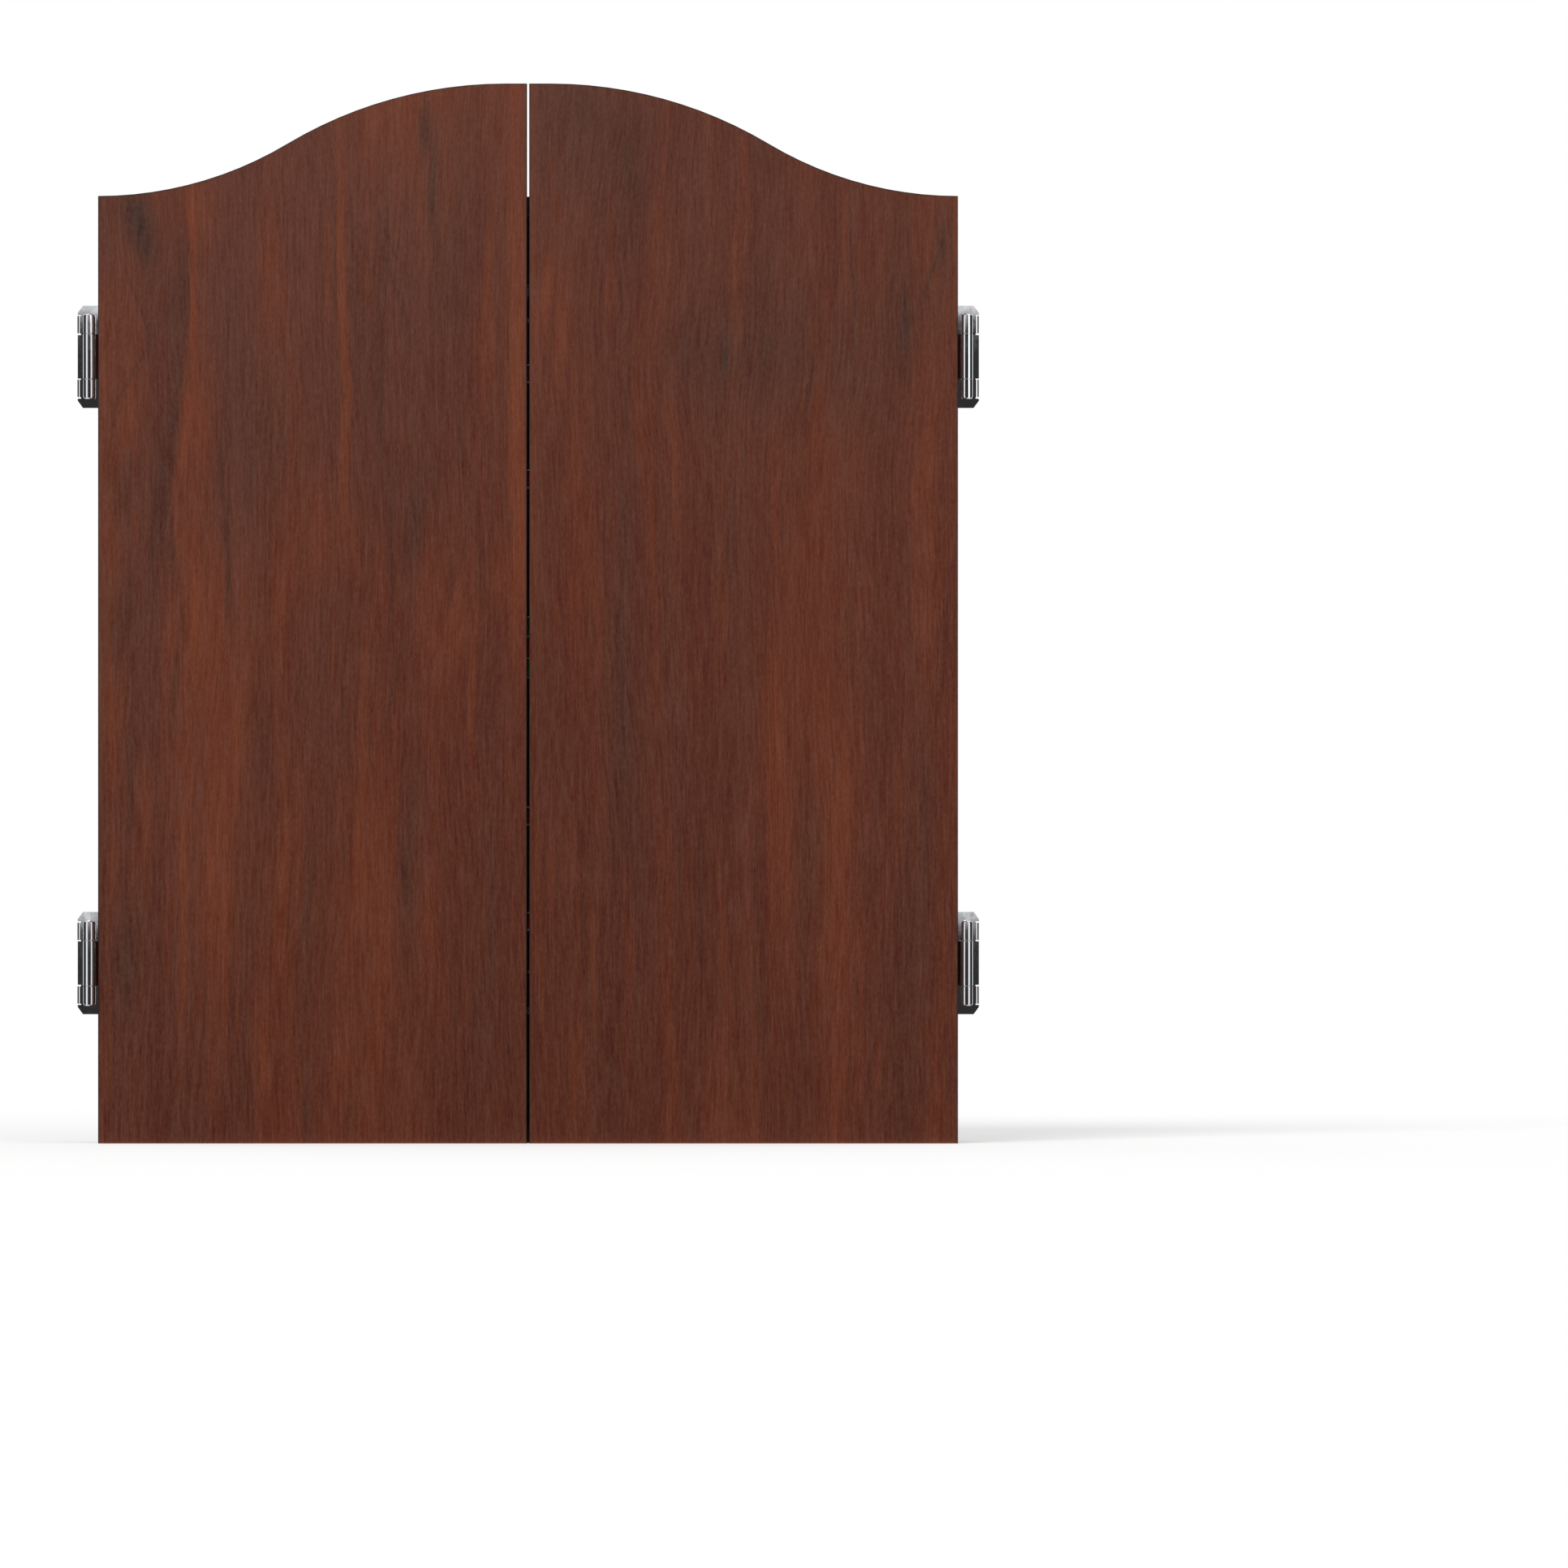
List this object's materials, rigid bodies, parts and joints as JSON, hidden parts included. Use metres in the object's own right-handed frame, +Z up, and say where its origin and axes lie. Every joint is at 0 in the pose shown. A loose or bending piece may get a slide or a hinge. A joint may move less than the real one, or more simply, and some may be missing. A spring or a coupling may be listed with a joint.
{
  "type": "dart board cabinet",
  "caption": "Shallow wall cabinet with a pair of arched doors on wrap-round hinges, holding a round bristle dart board on a slotted bracket.",
  "frame": {"origin": "on the wall plane, at the outer face of the back panel, straight behind the bull", "axes": "+X to the right of someone facing the doors, +Y into the wall, +Z up"},
  "size_m": [0.5456, 0.0937, 0.641],
  "materials": {
    "rosewood_laminate": "satin",
    "back_board": "matte",
    "dowel_wood": "matte",
    "bright_steel": "satin",
    "plated_sheet": "satin",
    "catch_plastic": "matte",
    "magnet": "matte",
    "hinge_chrome": "polished",
    "slate_laminate": "matte",
    "rack_wood": "satin",
    "sisal": "matte fibre",
    "rim_band": "satin",
    "backing_chipboard": "matte",
    "spider_wire": "bright",
    "number_wire": "gloss",
    "clip_black": "gloss",
    "rivet_steel": "satin",
    "bumper_rubber": "matte",
    "mark_paint": "matte"
  },
  "bodies": {
    "cabinet": {"side_panel_left": "rosewood_laminate", "side_panel_right": "rosewood_laminate", "top_panel": "rosewood_laminate", "bottom_panel": "rosewood_laminate", "back_panel": "back_board", "corner_dowels": "dowel_wood", "back_panel_nails": "bright_steel", "bracket_screws": "bright_steel", "catch_screws": "bright_steel", "fixed_leaf_screws": "bright_steel", "board_bracket": "plated_sheet", "catch_pole_plates": "plated_sheet", "catch_housing_left": "catch_plastic", "catch_housing_right": "catch_plastic", "catch_magnets": "magnet", "fixed_leaf_top_left": "hinge_chrome", "fixed_leaf_bottom_left": "hinge_chrome", "fixed_leaf_top_right": "hinge_chrome", "fixed_leaf_bottom_right": "hinge_chrome", "hinge_pin_top_left": "hinge_chrome", "hinge_pin_bottom_left": "hinge_chrome", "hinge_pin_top_right": "hinge_chrome", "hinge_pin_bottom_right": "hinge_chrome"},
    "door_left": {"door_panel_left": "rosewood_laminate", "scoreboard_left": "slate_laminate", "dart_rack_left": "rack_wood", "rack_screws_left": "bright_steel", "strike_plate_left": "plated_sheet", "strike_screw_left": "bright_steel", "door_leaf_top_left": "hinge_chrome", "door_leaf_bottom_left": "hinge_chrome", "door_leaf_screws_left": "bright_steel"},
    "door_right": {"door_panel_right": "rosewood_laminate", "scoreboard_right": "slate_laminate", "dart_rack_right": "rack_wood", "rack_screws_right": "bright_steel", "strike_plate_right": "plated_sheet", "strike_screw_right": "bright_steel", "door_leaf_top_right": "hinge_chrome", "door_leaf_bottom_right": "hinge_chrome", "door_leaf_screws_right": "bright_steel"},
    "dartboard": {"sisal_disc": "sisal", "rim_band": "rim_band", "board_backing": "backing_chipboard", "spider_rings": "spider_wire", "spider_spokes": "spider_wire", "number_ring": "number_wire", "number_ring_clips": "clip_black", "clip_rivets": "rivet_steel", "hanging_screw": "bright_steel", "board_bumpers": "bumper_rubber"}
  },
  "joints": [
    {"name": "door_left_hinge", "type": "hinge", "parent": "cabinet", "child": "door_left", "pos_m": [-0.2656, -0.0902, -0.0075], "axis": [0, 0, -1], "range_deg": [0, 180]},
    {"name": "door_right_hinge", "type": "hinge", "parent": "cabinet", "child": "door_right", "pos_m": [0.2656, -0.0902, -0.0075], "axis": [0, 0, 1], "range_deg": [0, 180]},
    {"name": "board_lift", "type": "slide", "parent": "cabinet", "child": "dartboard", "axis": [0, 0, 1], "range_m": [0, 0.03]}
  ]
}
